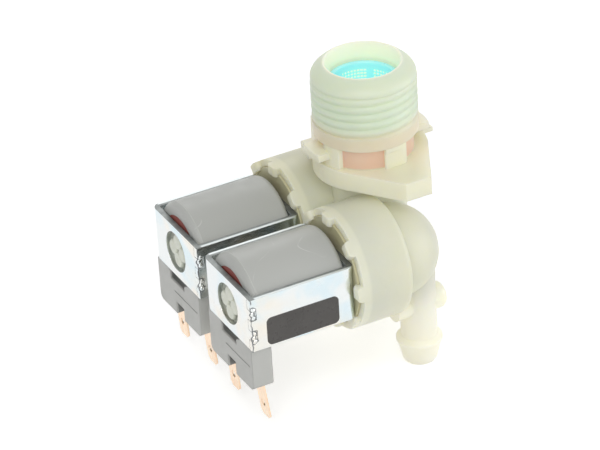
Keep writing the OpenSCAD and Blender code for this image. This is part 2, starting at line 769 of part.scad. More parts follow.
// Seam of the staked corner: fingers of the front plate pass through the near side plate
module corner_seam() {
    slit = 0.2;
    depth = 0.4;
    finger_h = yoke_h / 5;
    x0 = yoke_front;
    y0 = -yoke_w / 2;
    for (k = [0 : 4]) {
        z0 = -yoke_h / 2 + k * finger_h;
        if (k % 2 == 1) span_box([x0 + steel_t, y0 - 1, z0], [x0 + steel_t + slit, y0 + depth, z0 + finger_h]);
        else span_box([x0 - 1, y0 + steel_t, z0], [x0 + depth, y0 + steel_t + slit, z0 + finger_h]);
        if (k > 0) span_box([x0 - 1, y0 - 1, z0 - slit / 2], [x0 + steel_t, y0 + depth, z0 + slit / 2]);
        if (k > 0) span_box([x0 - 1, y0 - 1, z0 - slit / 2], [x0 + depth, y0 + steel_t, z0 + slit / 2]);
    }
}

// Zinc plated yoke round the coil
module yoke(side) {
    color("#c5cdd3") on_valve(side) difference() {
        translate([-yoke_l / 2, 0, -yoke_h / 2]) linear_extrude(yoke_h) yoke_plan();
        bar_x(front_hole_d, yoke_front - 1, yoke_front + steel_t + 1);
        bar_x(yoke_hole_d, -steel_t - 1, 1);
        corner_seam();
    }
}

// Place of a tab's middle along the block
function tab_y(place) = place == LEFT ? block_w / 2 - left_tab_inset : right_tab_inset - block_w / 2;

// Blade of a terminal tab, from its root down, with chamfered end and hole
module tab_blade(length) {
    chamfer = 0.9;
    hole_d = 2;
    hole_up = 4.3;
    difference() {
        rotate([90, 0, 90]) translate([0, 0, -tab_t / 2]) linear_extrude(tab_t)
            polygon([[-tab_w / 2, 0], [tab_w / 2, 0], [tab_w / 2, -length + chamfer],
                [tab_w / 2 - chamfer, -length], [-tab_w / 2 + chamfer, -length], [-tab_w / 2, -length + chamfer]]);
        translate([0, 0, -length + hole_up]) bar_x(hole_d, -tab_t, tab_t);
    }
}

// Terminal tab: straight in its block, bent a few degrees where it leaves it
module terminal(side, place, lean) {
    color("#d9a06f") on_valve(side) translate([tab_x, tab_y(place), block_bottom]) {
        translate([-tab_t / 2, -tab_w / 2, 0]) cube([tab_t, tab_w, tab_root - block_bottom]);
        rotate([0, -lean, 0]) tab_blade(tab_l);
    }
}

// Thin bare marking plate on the near yoke's side
module near_marking_plate() {
    plate_l = yoke_l - 9.4;
    plate_h = yoke_h - 7.2;
    plate_t = 0.12;
    color("#4a4744") on_valve(NEAR)
        translate([yoke_front + 4.3 + plate_l / 2, -yoke_w / 2, -3]) rotate([90, 0, 0])
            linear_extrude(plate_t) rounded_rect([plate_l, plate_h], 1.4);
}

valve_body();
inlet_filter();
flow_regulator_holder();
flow_regulator_ring();
guide_tube(NEAR);  // near_guide_tube
diaphragm(NEAR);  // near_diaphragm
diaphragm_insert(NEAR);  // near_diaphragm_insert
plunger(NEAR);  // near_plunger
plunger_seal(NEAR);  // near_plunger_seal
plunger_spring(NEAR);  // near_plunger_spring
bobbin(NEAR);  // near_bobbin
winding(NEAR);  // near_winding
coil_cover(NEAR);  // near_coil_cover
flux_sleeve(NEAR);  // near_flux_sleeve
yoke(NEAR);  // near_yoke
terminal(NEAR, LEFT, left_lean);  // near_left_terminal
terminal(NEAR, RIGHT, near_right_lean);  // near_right_terminal
near_marking_plate();
guide_tube(FAR);  // far_guide_tube
diaphragm(FAR);  // far_diaphragm
diaphragm_insert(FAR);  // far_diaphragm_insert
plunger(FAR);  // far_plunger
plunger_seal(FAR);  // far_plunger_seal
plunger_spring(FAR);  // far_plunger_spring
bobbin(FAR);  // far_bobbin
winding(FAR);  // far_winding
coil_cover(FAR);  // far_coil_cover
flux_sleeve(FAR);  // far_flux_sleeve
yoke(FAR);  // far_yoke
terminal(FAR, LEFT, left_lean);  // far_left_terminal
terminal(FAR, RIGHT, far_right_lean);  // far_right_terminal
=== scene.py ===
"""Looks of a double solenoid inlet valve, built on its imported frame. All lengths are in metres."""

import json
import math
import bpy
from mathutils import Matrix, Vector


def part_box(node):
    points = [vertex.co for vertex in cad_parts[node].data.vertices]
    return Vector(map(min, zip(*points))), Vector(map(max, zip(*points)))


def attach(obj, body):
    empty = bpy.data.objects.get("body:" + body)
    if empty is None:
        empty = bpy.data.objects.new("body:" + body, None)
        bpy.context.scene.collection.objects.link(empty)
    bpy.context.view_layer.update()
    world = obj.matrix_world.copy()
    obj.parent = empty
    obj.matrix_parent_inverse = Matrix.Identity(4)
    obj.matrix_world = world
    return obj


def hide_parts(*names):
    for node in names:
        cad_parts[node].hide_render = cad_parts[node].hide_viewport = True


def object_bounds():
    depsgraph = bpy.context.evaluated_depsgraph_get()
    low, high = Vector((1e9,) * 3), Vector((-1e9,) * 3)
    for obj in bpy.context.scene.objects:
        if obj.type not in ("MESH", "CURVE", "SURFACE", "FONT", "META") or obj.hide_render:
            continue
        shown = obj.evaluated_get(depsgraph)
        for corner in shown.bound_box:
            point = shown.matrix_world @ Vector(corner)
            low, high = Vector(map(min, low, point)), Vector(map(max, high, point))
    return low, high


bl_info = {
    "name": "Inlet valve looks",
    "version": (1, 0, 0),
    "blender": (4, 5, 0),
    "location": "3D View > Sidebar > Inlet valve",
    "description": "Dresses the inlet valve of a washing machine: moulded body, coils, yokes, tabs and stage",
    "category": "Object",
}

import bmesh
import bpy
from bpy.props import FloatProperty, FloatVectorProperty, IntProperty, PointerProperty
from mathutils import Matrix, Vector, noise

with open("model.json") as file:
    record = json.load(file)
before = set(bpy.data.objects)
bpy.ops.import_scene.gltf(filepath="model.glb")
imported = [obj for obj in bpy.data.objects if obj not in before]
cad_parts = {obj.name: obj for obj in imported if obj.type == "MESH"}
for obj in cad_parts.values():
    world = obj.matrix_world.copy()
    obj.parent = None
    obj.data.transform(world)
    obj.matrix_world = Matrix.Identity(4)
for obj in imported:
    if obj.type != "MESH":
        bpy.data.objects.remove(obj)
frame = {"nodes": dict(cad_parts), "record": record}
CAD_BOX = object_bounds()
MM = 0.001
WELD = 1e-6
CUT = 1e-7
SIDES = ("near", "far")
MOUTH_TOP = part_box("valve_body")[1].z
QUARTER_ABOUT_X = Matrix.Rotation(math.radians(90), 3, "X")
QUARTER_ABOUT_Y = Matrix.Rotation(math.radians(90), 3, "Y")

# Profiles turned about the inlet's axis: radius and height in millimetres
SHOULDER = ((13.4, 21.4), (13.3, 21.9), (13.02, 22.45), (12.6, 23.0),
            (12.1, 23.5), (11.6, 23.93), (11.1, 24.32), (10.62, 24.66))
MOUTH_RIM = ((10.25, 24.9), (9.98, 25.04), (9.8, 25.08), (9.67, 25.0), (9.6, 24.8), (9.45, 23.5))
SHOULDER_R, WALL_R = 13.36, 9.3

# One ridge of the thread: shares of its depth and of its pitch
RIDGE = ((0, 0), (0.10, 0.08), (0.5, 0.19), (0.86, 0.29), (1, 0.42),
         (1, 0.58), (0.86, 0.71), (0.5, 0.81), (0.10, 0.92), (0, 1))

# Lamps: name, place from the valve's middle, size and power
LAMPS = (
    ("key_lamp", (-0.40, -0.75, 0.75), 0.7, 4.2),
    ("side_lamp", (0.80, -0.50, 0.10), 0.6, 2.9),
    ("back_lamp", (0.3, 0.8, 0.6), 0.6, 1.4),
)


def yoke_box(side):
    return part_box(side + "_yoke")


def coil_axis(side):
    """Sideways place and height of a coil's axis."""
    low, high = yoke_box(side)
    return (low.y + high.y) / 2, (low.z + high.z) / 2


# Sizes and colours that a user would change


def colour(name, default, description):
    return FloatVectorProperty(name=name, subtype="COLOR", size=3, default=default, min=0, max=1,
                               description=description)


def length(name, default, description):
    return FloatProperty(name=name, subtype="DISTANCE", unit="LENGTH", default=default, min=0, precision=5,
                         description=description)


def triple(default, description):
    return FloatVectorProperty(size=3, default=default, description=description)


class MouldingSettings(bpy.types.PropertyGroup):
    flange: colour("Flange", (0.86, 0.84, 0.65), "Natural nylon of the flange and its ears")
    # The mouth's colour is the nylon's own pale tone above the filter, and also painted light: inside the bore it
    # stands for the daylight through the wall.
    mouth: colour("Mouth", (0.92, 0.89, 0.71), "Pale nylon of the inlet's mouth")
    thread: colour("Thread", (0.67, 0.76, 0.61), "Natural nylon round the cyan filter")
    collar: colour("Collar", (0.76, 0.68, 0.51), "Nylon of the collar below the thread")
    neck: colour("Neck", (0.86, 0.57, 0.42), "Nylon of the neck, through which the regulator's holder shines")
    chamber: colour("Chambers", (0.725, 0.73, 0.585), "Natural nylon of the chamber rings and elbows")
    # Painted light: the spigots are painted paler than the chambers, for the backlight that comes through them.
    backlit_spigot: colour("Spigots", (0.98, 0.95, 0.76), "Natural nylon of the spigots")
    # Painted shade: the far side behind the inlet, below the flange, is darkened towards olive.
    shaded: colour("Shaded side", (0.52, 0.49, 0.30), "Deeper nylon behind the inlet, between flange and far chamber")
    thread_pitch: length("Thread pitch", 2.209 * MM, "Rise of the thread in one turn")
    thread_depth: length("Thread depth", 0.42 * MM, "Depth of the thread")
    filter: colour("Filter", (0.44, 0.90, 0.95), "Cyan plastic of the inlet filter")
    strand: length("Mesh strand", 0.31 * MM, "Width of the strands of the filter's mesh")
    mesh_columns: IntProperty(name="Mesh columns", default=8, min=2, max=14,
                              description="Mesh openings across one window of the filter")
    mesh_rows: IntProperty(name="Mesh rows", default=10, min=2, max=16,
                           description="Mesh openings up one window of the filter")


class CoilSettings(bpy.types.PropertyGroup):
    cover: colour("Coil cover", (0.48, 0.49, 0.465), "Grey plastic of the coil covers")
    # Painted light: the block is the cover's plastic, painted lighter to make up for the shade under the coil.
    block: colour("Terminal block", (0.53, 0.535, 0.51), "Grey plastic of the terminal blocks")
    # Painted shade: the recess is painted dark for the shade inside it.
    recess: colour("Block recess", (0.15, 0.153, 0.145), "Dark grey inside the recess of a terminal block")
    mould_line: length("Mould line", 3.1 * MM, "Distance of the cover's mould line behind the yoke's front")
    zinc: colour("Zinc", (0.77, 0.80, 0.80), "Bright zinc plate of the yokes")
    tab: colour("Tab", (0.88, 0.66, 0.48), "Copper colour of the terminal tabs")
    bobbin: colour("Bobbin", (0.23, 0.045, 0.035), "Red-brown plastic of the bobbins")
    tube: colour("Guide tube", (0.53, 0.56, 0.46), "Light plastic of the guide tubes")
    plate: colour("Marking plate", (0.055, 0.051, 0.047), "Dark film of the bare marking plate")


class StageSettings(bpy.types.PropertyGroup):
    floor: colour("Floor", (0.86, 0.86, 0.86), "Plain pale floor")
    lens: FloatProperty(name="Lens", default=222.83, min=20, max=400,
                        description="Focal length of the camera in millimetres on a 36 mm sensor")


def moulding():
    return bpy.context.scene.inlet_valve_moulding


def coil():
    return bpy.context.scene.inlet_valve_coil


def stage():
    return bpy.context.scene.inlet_valve_stage


# Finishes


class Finish:
    """A material under construction, with short ways to add and join its nodes."""

    def __init__(self, name, rgb, roughness=0.5, metallic=0.0):
        self.material = bpy.data.materials.new(name)
        self.material.use_nodes = True
        self.tree = self.material.node_tree
        self.shader = self.tree.nodes["Principled BSDF"]
        self.shader.inputs["Base Color"].default_value = (*rgb, 1)
        self.shader.inputs["Roughness"].default_value = roughness
        self.shader.inputs["Metallic"].default_value = metallic
        self.place = self.add("ShaderNodeTexCoord").outputs["Object"]
        self.axes = self.add("ShaderNodeSeparateXYZ")
        self.join(self.place, self.axes.inputs[0])

    def add(self, kind, **settings):
        node = self.tree.nodes.new(kind)
        for key, value in settings.items():
            setattr(node, key, value)
        return node

    def join(self, source, target):
        self.tree.links.new(source, target)

    def axis(self, letter):
        return self.axes.outputs[letter]

    def noise(self, scale, detail, stretch=(1, 1, 1), roughness=0.55):
        mapping = self.add("ShaderNodeMapping")
        mapping.inputs["Scale"].default_value = stretch
        node = self.add("ShaderNodeTexNoise")
        node.inputs["Scale"].default_value = scale
        node.inputs["Detail"].default_value = detail
        node.inputs["Roughness"].default_value = roughness
        self.join(self.place, mapping.inputs["Vector"])
        self.join(mapping.outputs["Vector"], node.inputs["Vector"])
        return node.outputs["Fac"]

    def span(self, value, low, high, to_low=0.0, to_high=1.0):
        """Maps a value from one range to another, held at the ends."""
        node = self.add("ShaderNodeMapRange")
        node.interpolation_type = "SMOOTHSTEP"
        for key, number in (("From Min", low), ("From Max", high), ("To Min", to_low), ("To Max", to_high)):
            node.inputs[key].default_value = number
        self.join(value, node.inputs["Value"])
        return node.outputs["Result"]

    def math(self, operation, first, second=0.0):
        node = self.add("ShaderNodeMath", operation=operation)
        for socket, value in zip(node.inputs, (first, second)):
            if isinstance(value, (int, float)):
                socket.default_value = value
            else:
                self.join(value, socket)
        return node.outputs[0]

    def both(self, first, second):
        return self.math("MULTIPLY", first, second)

    def either(self, first, second):
        return self.math("MAXIMUM", first, second)

    def apart(self, value, middle):
        """Distance of a value from a middle."""
        return self.math("ABSOLUTE", self.math("SUBTRACT", value, middle))

    def off_coil_axis(self):
        """Sideways distance from the nearer coil's axis."""
        return self.apart(self.math("ABSOLUTE", self.axis("Y")), abs(coil_axis("near")[0]))

    def blend(self, factor, first, second):
        """Mixes two colours, each a socket or three numbers."""
        node = self.add("ShaderNodeMix", data_type="RGBA")
        for socket, value in ((node.inputs[0], factor), (node.inputs[6], first), (node.inputs[7], second)):
            if isinstance(value, bpy.types.NodeSocket):
                self.join(value, socket)
            else:
                socket.default_value = (*value, 1)
        return node.outputs[2]

    def mottle(self, base, tint, scale, detail, share, low=0.3, high=0.7):
        """A base colour with soft patches of a tint."""
        return self.blend(self.span(self.noise(scale, detail), low, high, 0.0, share), base, tint)

    def wander(self, low, high, scale, detail, stretch=(1, 1, 1)):
        """A value that wanders between two others."""
        return self.span(self.noise(scale, detail, stretch), 0.3, 0.7, low, high)

    def paint(self, source):
        self.join(source, self.shader.inputs["Base Color"])

    def gloss(self, source):
        self.join(source, self.shader.inputs["Roughness"])

    def relief(self, height, strength, depth, edge=0.0):
        """Bump from a height, over edges that are rounded by edge metres."""
        bump = self.add("ShaderNodeBump")
        bump.inputs["Strength"].default_value = strength
        bump.inputs["Distance"].default_value = depth
        self.join(height, bump.inputs["Height"])
        if edge:
            rounding = self.add("ShaderNodeBevel", samples=6)
            rounding.inputs["Radius"].default_value = edge
            self.join(rounding.outputs["Normal"], bump.inputs["Normal"])
        self.join(bump.outputs["Normal"], self.shader.inputs["Normal"])

    def shine(self, rgb, strength):
        """A little light of its own, for plastic that the daylight comes through."""
        self.shader.inputs["Emission Color"].default_value = (*rgb, 1)
        if isinstance(strength, bpy.types.NodeSocket):
            self.join(strength, self.shader.inputs["Emission Strength"])
        else:
            self.shader.inputs["Emission Strength"].default_value = strength

    def glow_inside(self, weight, radius, scale):
        self.shader.inputs["Subsurface Weight"].default_value = weight
        self.shader.inputs["Subsurface Radius"].default_value = radius
        self.shader.inputs["Subsurface Scale"].default_value = scale


def nylon_colour(f, radius):
    """Colour of the moulding from the spigots up to the mouth."""
    s = moulding()
    z = f.axis("Z")
    # Painted light: below the chambers the spigots take the paler, backlit colour.
    chambers = f.blend(f.span(z, -42 * MM, -26 * MM), s.backlit_spigot, s.chamber)
    below = f.blend(f.span(z, -7.5 * MM, -4.5 * MM), chambers, s.flange)
    # Painted shade behind the inlet and below the flange, towards the far chamber.
    shade_behind = f.both(f.span(f.axis("Y"), 2 * MM, 14 * MM, 0.0, 0.4), f.span(z, -34 * MM, -26 * MM))
    below = f.blend(f.both(shade_behind, f.span(z, -6 * MM, -2 * MM, 1.0, 0.0)), below, s.shaded)
    in_neck = f.both(f.span(radius, 12.05 * MM, 12.35 * MM, 1.0, 0.0), f.span(z, 0.0, 0.6 * MM))
    neck = f.blend(in_neck, below, s.neck)
    collar = f.blend(f.span(z, 5.6 * MM, 6.4 * MM), neck, s.collar)
    thread = f.blend(f.span(z, 8 * MM, 13 * MM), collar, s.thread)
    # Pale nylon above the filter; inside the bore and on the rim it is also painted light, for the daylight through
    # the wall.
    in_mouth = f.both(f.span(radius, 9.6 * MM, 10.6 * MM, 1.0, 0.12), f.span(z, 17 * MM, 20 * MM))
    mouth = f.blend(in_mouth, thread, s.mouth)
    return f.mottle(mouth, (0.98, 0.95, 0.80), 90, 4, 0.10)


def nylon_daylight(f, radius):
    """Strength of the daylight that comes through the bore, the mouth, the spigots and the teeth."""
    z = f.axis("Z")
    bore = f.both(f.span(radius, 9.3 * MM, 9.6 * MM, 0.45, 0.0), f.span(z, 18.8 * MM, 20 * MM, 1.0, 0.0))
    bore = f.both(bore, f.span(z, 6 * MM, 9 * MM))
    flare = f.both(f.span(radius, 9.7 * MM, 10.4 * MM, 0.15, 0.0), f.span(z, 20 * MM, 21.5 * MM))
    spigots = f.span(z, -44 * MM, -34 * MM, 0.11, 0.02)
    back = yoke_box("near")[1].x
    teeth = f.both(f.span(f.axis("X"), back + 2.2 * MM, back + 3.6 * MM, 0.09, 0.0), f.span(z, 0.0, 1 * MM, 1.0, 0.0))
    return f.either(f.either(f.either(bore, flare), spigots), teeth)


def natural_nylon():
    """Slightly translucent nylon: greener round the filter, salmon at the neck, ivory below."""
    f = Finish("natural_nylon", moulding().chamber, 0.36)
    squares = f.math("ADD", f.math("POWER", f.axis("X"), 2.0), f.math("POWER", f.axis("Y"), 2.0))
    radius = f.math("SQRT", squares)
    f.paint(nylon_colour(f, radius))
    f.gloss(f.wander(0.30, 0.44, 350, 2))
    f.relief(f.noise(700, 3), 0.25, 0.12 * MM, 0.4 * MM)
    f.glow_inside(0.6, (1.0, 0.86, 0.5), 6 * MM)
    f.shine((1.0, 0.92, 0.66), nylon_daylight(f, radius))
    return f.material


def filter_plastic():
    cyan = moulding().filter
    f = Finish("filter_plastic", cyan, 0.35)
    f.paint(f.mottle(cyan, (0.50, 0.88, 0.92), 200, 2, 0.25))
    f.relief(f.noise(900, 2), 0.15, 0.1 * MM)
    f.glow_inside(0.3, (0.4, 0.9, 1.0), 1.5 * MM)
    f.shine((0.30, 0.92, 1.0), 0.12)
    return f.material


def holder_plastic():
    salmon = (0.85, 0.40, 0.28)
    f = Finish("holder_plastic", salmon, 0.4)
    f.paint(f.mottle(salmon, (0.92, 0.55, 0.42), 150, 2, 0.2))
    f.relief(f.noise(800, 2), 0.15, 0.1 * MM)
    return f.material


def coil_moulding():
    """Grey thermoset of a coil cover and its terminal block, with painted shade in the block's recess, the block
    painted lighter than the cover, and faint scuffs.
    """
    s = coil()
    f = Finish("coil_moulding", s.cover, 0.42)
    x, z = f.axis("X"), f.axis("Z")
    low = yoke_box("near")[0]
    # Painted shade inside the recess of the terminal block.
    deep = f.both(f.span(x, low.x + 0.3 * MM, low.x + 0.6 * MM),
                  f.span(x, low.x + 2.1 * MM, low.x + 2.3 * MM, 1.0, 0.0))
    recess_shade_mask = f.both(deep, f.span(f.off_coil_axis(), 4.8 * MM, 5.2 * MM, 0.8, 0.0))
    block = f.blend(recess_shade_mask, s.block, s.recess)
    # The block's lighter grey is painted light on the same plastic as the cover.
    base = f.blend(f.span(z, low.z - 0.1 * MM, low.z + 0.1 * MM), block, s.cover)
    clouded = f.mottle(base, (0.48, 0.485, 0.46), 120, 4, 0.15, 0.25, 0.75)
    line = f.span(f.apart(f.noise(48, 1.5), 0.5), 0.001, 0.005, 1.0, 0.0)
    scuff = f.both(line, f.span(f.noise(95, 2), 0.55, 0.68))
    f.paint(f.blend(f.both(scuff, 0.55), clouded, (0.72, 0.72, 0.70)))
    f.gloss(f.wander(0.34, 0.5, 300, 3))
    f.relief(f.noise(1500, 3), 0.2, 0.08 * MM, 0.6 * MM)
    return f.material


def edge_tone_and_highlight(f):
    """Where the yoke's top and bottom edges lie, and their colour: darker along the edges, with a painted highlight
    along the side plates.
    """
    x, z = f.axis("X"), f.axis("Z")
    low, high = yoke_box("near")
    near_edge, far_edge = 0.02 * MM, 0.08 * MM
    edge = f.either(f.span(z, high.z - far_edge, high.z - near_edge),
                    f.span(z, low.z + near_edge, low.z + far_edge, 1.0, 0.0))
    half = (high.y - low.y) / 2
    # Painted highlight: a bright band along the side plates' top and bottom edges.
    outer = f.both(f.span(f.off_coil_axis(), half - 0.9 * MM, half - 0.6 * MM),
                   f.span(x, low.x + 1.2 * MM, low.x + 1.8 * MM))
    dark = f.blend(f.noise(500, 2), (0.14, 0.15, 0.15), (0.36, 0.38, 0.37))
    return edge, f.blend(outer, dark, (0.66, 0.70, 0.70))


def zinc_plate():
    """Bright zinc with faint yellow and blue tints, gentle waves, darker top and bottom edges and a painted highlight
    along the side plates.
    """
    s = coil()
    f = Finish("zinc_plate", s.zinc, 0.3, 1.0)
    yellow = f.mottle(s.zinc, (0.84, 0.77, 0.66), 60, 3, 0.65, 0.48, 0.66)
    blue = f.blend(f.span(f.noise(80, 2, (1.3, 0.8, 1.1)), 0.48, 0.66, 0.0, 0.6), yellow, (0.60, 0.75, 0.82))
    edge, edge_tone = edge_tone_and_highlight(f)
    f.paint(f.blend(edge, blue, edge_tone))
    grain = f.noise(420, 4, (1, 1, 5), 0.6)
    f.gloss(f.either(f.span(grain, 0.3, 0.75, 0.17, 0.28), f.both(edge, 0.5)))
    f.relief(f.math("ADD", f.noise(45, 1), f.both(grain, 0.03)), 0.25, 0.6 * MM, 0.25 * MM)
    return f.material


def mould_line_highlight():
    """Lighter grey of the mould line: a painted highlight along its crest."""
    f = Finish("mould_line_highlight", (0.56, 0.57, 0.545), 0.5)
    f.paint(f.blend(f.noise(300, 3), (0.50, 0.51, 0.485), (0.64, 0.65, 0.62)))
    return f.material


def seam_shadow():
    """Painted shade: dark grey for the fine gaps round staked metal."""
    f = Finish("seam_shadow", (0.10, 0.11, 0.12), 0.5, 0.6)
    f.paint(f.blend(f.noise(500, 3), (0.10, 0.105, 0.11), (0.32, 0.33, 0.34)))
    return f.material


def terminal_metal():
    f = Finish("terminal_metal", coil().tab, 0.26, 1.0)
    f.paint(f.mottle(coil().tab, (0.96, 0.86, 0.70), 220, 3, 0.5, 0.35))
    f.gloss(f.wander(0.2, 0.36, 600, 4, (1, 1, 0.2)))
    f.relief(f.noise(900, 3, (1, 1, 0.15)), 0.1, 0.05 * MM, 0.1 * MM)
    return f.material


def bobbin_plastic():
    f = Finish("bobbin_plastic", coil().bobbin, 0.5)
    f.paint(f.mottle(coil().bobbin, (0.36, 0.09, 0.06), 300, 3, 0.3))
    f.relief(f.noise(900, 2), 0.2, 0.1 * MM)
    return f.material


def tube_plastic():
    """Light plastic with painted light and shade: paler lobes for the light on them, painted shade in their crevices,
    and painted shade that turns the flange between the teeth olive.
    """
    f = Finish("tube_plastic", coil().tube, 0.3)
    x = f.axis("X")
    front, back = (corner.x for corner in yoke_box("near"))
    # Painted light on the lobes and painted shade in their crevices.
    lobes = f.blend(f.span(x, front + 0.3 * MM, front + 1.3 * MM), (0.80, 0.83, 0.71), (0.30, 0.32, 0.26))
    tube = f.blend(f.span(x, front + 4 * MM, front + 5 * MM), lobes, coil().tube)
    # Painted shade: the flange between the teeth is darkened to olive.
    base = f.blend(f.span(x, back - 1 * MM, back), tube, (0.56, 0.53, 0.33))
    f.paint(f.mottle(base, (0.78, 0.78, 0.66), 180, 3, 0.2))
    f.relief(f.noise(900, 2), 0.15, 0.1 * MM, 0.3 * MM)
    f.glow_inside(0.2, (1.0, 0.95, 0.8), 1.5 * MM)
    return f.material


def plate_film():
    f = Finish("plate_film", coil().plate, 0.3)
    f.paint(f.mottle(coil().plate, (0.09, 0.085, 0.08), 160, 3, 0.35))
    f.gloss(f.wander(0.24, 0.4, 500, 3))
    f.relief(f.noise(1200, 3), 0.1, 0.04 * MM)
    return f.material


def plain_rubber():
    f = Finish("soft_rubber", (0.03, 0.03, 0.03), 0.65)
    f.paint(f.blend(f.noise(400, 3), (0.025, 0.025, 0.027), (0.05, 0.05, 0.052)))
    f.relief(f.noise(1500, 2), 0.2, 0.1 * MM)
    return f.material


def turned_steel():
    f = Finish("turned_steel", (0.58, 0.59, 0.61), 0.25, 1.0)
    f.gloss(f.wander(0.18, 0.38, 1800, 3, (4, 0.4, 0.4)))
    f.relief(f.noise(1500, 2, (6, 0.3, 0.3)), 0.15, 0.05 * MM)
    return f.material


def spring_wire():
    f = Finish("spring_wire", (0.66, 0.67, 0.69), 0.22, 1.0)
    f.gloss(f.wander(0.16, 0.32, 2000, 2))
    return f.material


def insert_plastic():
    f = Finish("insert_plastic", (0.80, 0.80, 0.77), 0.4)
    f.relief(f.noise(900, 2), 0.15, 0.1 * MM, 0.2 * MM)
    return f.material


def enamelled_copper():
    """Copper wire in even turns across the coil's axis."""
    f = Finish("enamelled_copper", (0.62, 0.24, 0.12), 0.3, 1.0)
    wave = f.add("ShaderNodeTexWave", wave_type="BANDS", bands_direction="X")
    wave.inputs["Scale"].default_value = 900
    f.join(f.place, wave.inputs["Vector"])
    f.relief(wave.outputs["Fac"], 0.6, 0.1 * MM)
    f.gloss(f.wander(0.25, 0.4, 800, 2))
    return f.material


FINISHES = {
    "nylon": natural_nylon,
    "filter_plastic": filter_plastic,
    "holder_plastic": holder_plastic,
    "black_rubber": plain_rubber,
    "diaphragm_rubber": plain_rubber,
    "tube_plastic": tube_plastic,
    "insert_plastic": insert_plastic,
    "plunger_steel": turned_steel,
    "spring_steel": spring_wire,
    "bobbin_plastic": bobbin_plastic,
    "copper_wire": enamelled_copper,
    "coil_plastic": coil_moulding,
    "zinc_steel": zinc_plate,
    "terminal_metal": terminal_metal,
    "plate_film": plate_film,
}


def finish_for(slot):
    """The finish of a material slot, made once."""
    made = FINISHES[slot]
    if not hasattr(made, "material"):
        made.material = made()
    return made.material


# Helpers for meshes


def merged_copy(node):
    """Bmesh with a merged copy of a node of the frame."""
    bm = bmesh.new()
    bm.from_mesh(frame["nodes"][node].data)
    bmesh.ops.remove_doubles(bm, verts=bm.verts, dist=WELD)
    bmesh.ops.dissolve_degenerate(bm, edges=bm.edges, dist=CUT)
    return bm


def piece(name, bm, slot, body="valve", replaced=(), sharp=35):
    """Turns a bmesh into a finished piece that rides on a body."""
    for face in bm.faces:
        face.smooth = True
    for edge in bm.edges:
        if len(edge.link_faces) == 2:
            edge.smooth = edge.calc_face_angle(0) < math.radians(sharp)
    mesh = bpy.data.meshes.new(name)
    bm.to_mesh(mesh)
    bm.free()
    obj = bpy.data.objects.new(name, mesh)
    bpy.context.scene.collection.objects.link(obj)
    mesh.materials.append(finish_for(slot))
    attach(obj, body)
    if replaced:
        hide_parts(*replaced)
    return obj


def cut_level(bm, z, **sides):
    """Cuts a mesh at a height."""
    everything = bm.verts[:] + bm.edges[:] + bm.faces[:]
    settings = {"plane_no": (0, 0, 1), **sides}
    bmesh.ops.bisect_plane(bm, geom=everything, dist=CUT, plane_co=(0, 0, z), **settings)


def turned(bm, profile, steps, closed=False, **way):
    """Turns a profile of radii and heights about the inlet's axis."""
    chain = [bm.verts.new((radius, 0, height)) for radius, height in profile]
    following = chain[1:] + chain[:1] if closed else chain[1:]
    edges = [bm.edges.new(pair) for pair in zip(chain, following)]
    settings = {"angle": math.tau, "use_merge": True, **way}
    bmesh.ops.spin(bm, geom=chain + edges, cent=(0, 0, 0), axis=(0, 0, 1), steps=steps, **settings)


def turn_of(vertex):
    return math.atan2(vertex.co.y, vertex.co.x)


def ring(bm, z):
    """Vertices of the open edge at a height, in order round the inlet's axis."""
    return sorted((v for v in bm.verts if v.is_boundary and abs(v.co.z - z) < 0.01 * MM), key=turn_of)


def stitch(bm, first, second):
    """Closes the gap between two rings round the inlet's axis with a band of triangles."""
    def ahead(loop, index):
        return turn_of(loop[(index + 1) % len(loop)]) + (math.tau if index + 1 >= len(loop) else 0)

    i = j = 0
    while i < len(first) or j < len(second):
        a, b = first[i % len(first)], second[j % len(second)]
        if j >= len(second) or (i < len(first) and ahead(first, i) <= ahead(second, j)):
            i += 1
            bm.faces.new((a, b, first[i % len(first)]))
        else:
            j += 1
            bm.faces.new((a, b, second[j % len(second)]))


def ellipsoid(bm, place, half_sizes, segments=20):
    """Adds a ball squeezed to the given half sizes."""
    made = bmesh.ops.create_uvsphere(bm, u_segments=segments, v_segments=segments // 2 + 2, radius=1)
    bmesh.ops.scale(bm, verts=made["verts"], vec=half_sizes)
    bmesh.ops.translate(bm, verts=made["verts"], vec=place)


# Steps that dress the valve


class INLETVALVE_OT_finishes(bpy.types.Operator):
    """Gives every node of the frame its finish"""

    bl_idname = "inletvalve.finishes"
    bl_label = "Finishes"

    def execute(self, context):
        slots = {s["node"]: s["material_slot"] for s in frame["record"]["subparts"]}
        for name, obj in frame["nodes"].items():
            if not obj.material_slots:
                obj.data.materials.append(None)
            for slot in obj.material_slots:
                slot.material = finish_for(slots[name])
        return {"FINISHED"}


